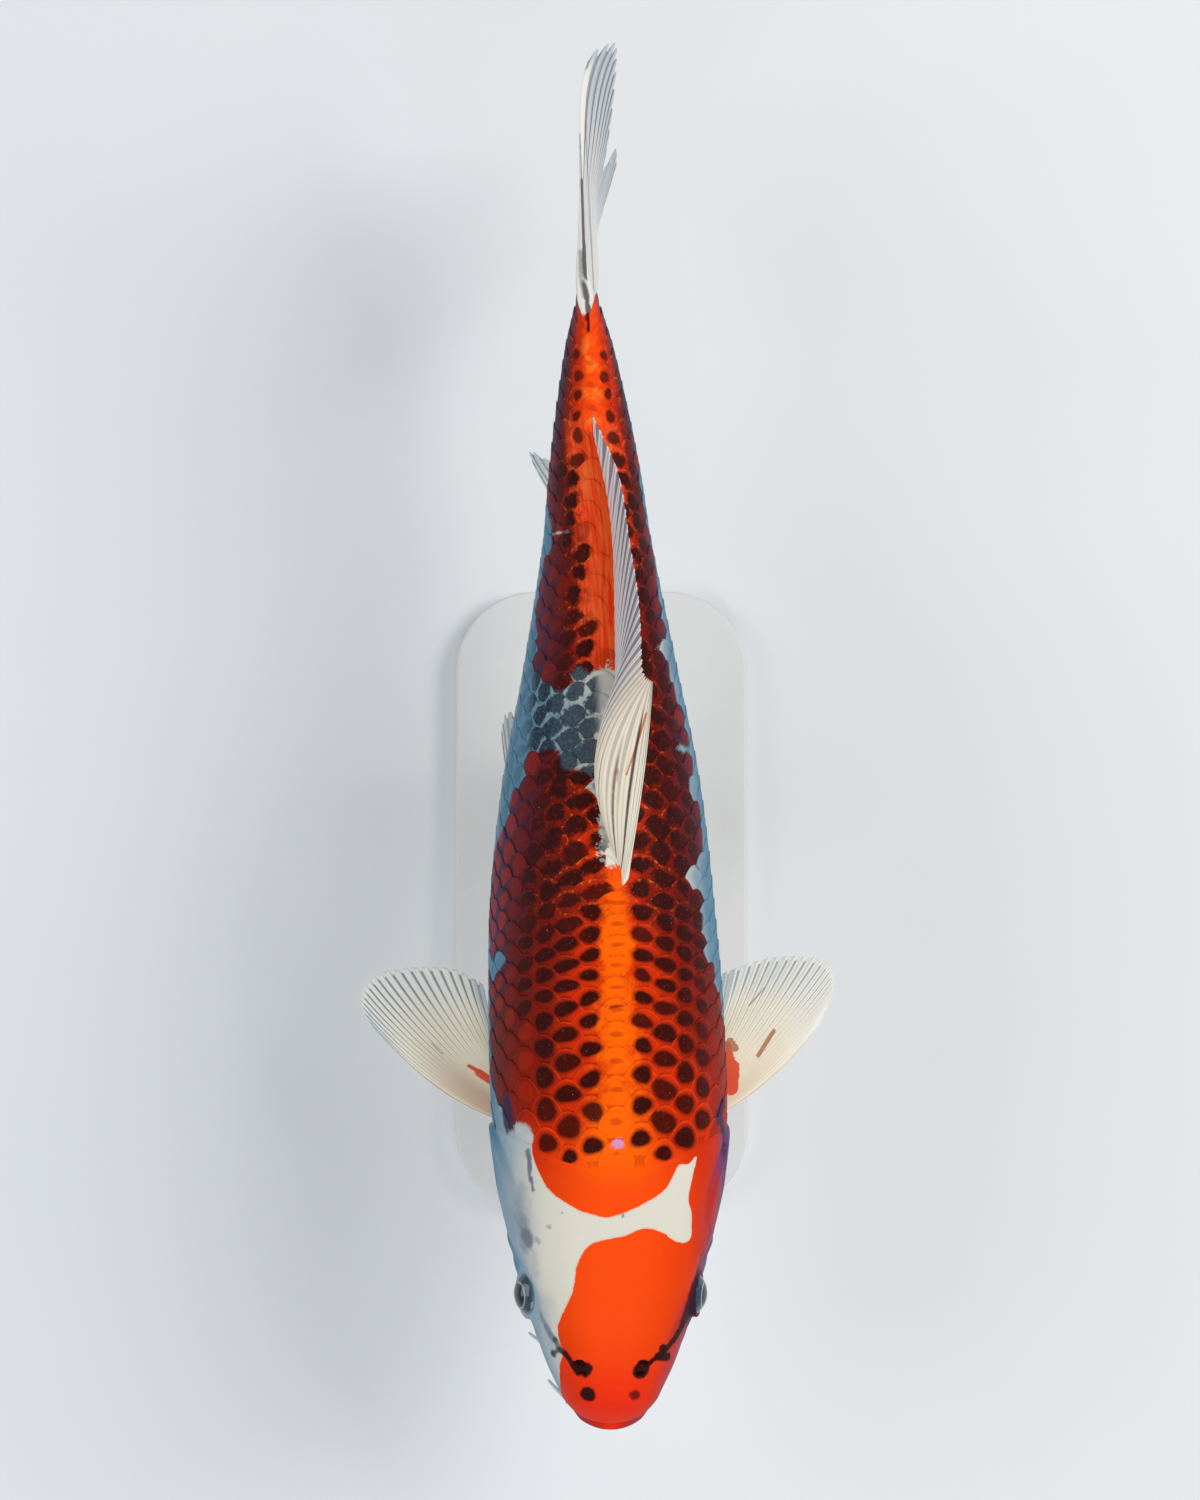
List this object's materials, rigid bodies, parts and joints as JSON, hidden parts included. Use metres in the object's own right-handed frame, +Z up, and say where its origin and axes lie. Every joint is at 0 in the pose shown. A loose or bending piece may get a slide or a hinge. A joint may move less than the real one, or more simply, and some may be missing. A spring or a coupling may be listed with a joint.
{
  "type": "koi carp model on a display stand",
  "caption": "Life-size museum model of a koi carp, swimming level with fins spread, held above a flat rounded base plate by two slim steel rods.",
  "frame": {"origin": "centre of the flat underside of the stand's base", "axes": "+Z up; the fish looks along -Y; +X is the fish's left side"},
  "size_m": [0.1944, 0.5422, 0.2134],
  "materials": {
    "skin": "wet, glossy scaled skin in orange red, dark maroon and blue-grey white",
    "fin": "creamy white fin rays with thin, slightly see-through web",
    "eye": "clear, glossy, dark pupil in a bronze ring",
    "plate": "pale grey satin powder coat",
    "rod": "fine brushed steel"
  },
  "bodies": {
    "root": {"head": "skin", "upper_jaw": "skin", "lower_jaw": "skin", "gill_cover_left": "skin", "gill_cover_right": "skin", "barbel_upper_left": "skin", "barbel_upper_right": "skin", "barbel_corner_left": "skin", "barbel_corner_right": "skin", "trunk_front": "skin", "trunk_rear": "skin", "tail_stem": "skin", "dorsal_fin": "fin", "anal_fin": "fin", "pelvic_fin_left": "fin", "pelvic_fin_right": "fin", "pectoral_fin_left": "fin", "pectoral_fin_right": "fin", "caudal_fin_upper": "fin", "caudal_fin_lower": "fin", "eye_left": "eye", "eye_right": "eye", "stand_base": "plate", "stand_rod_front": "rod", "stand_rod_rear": "rod"}
  },
  "joints": []
}
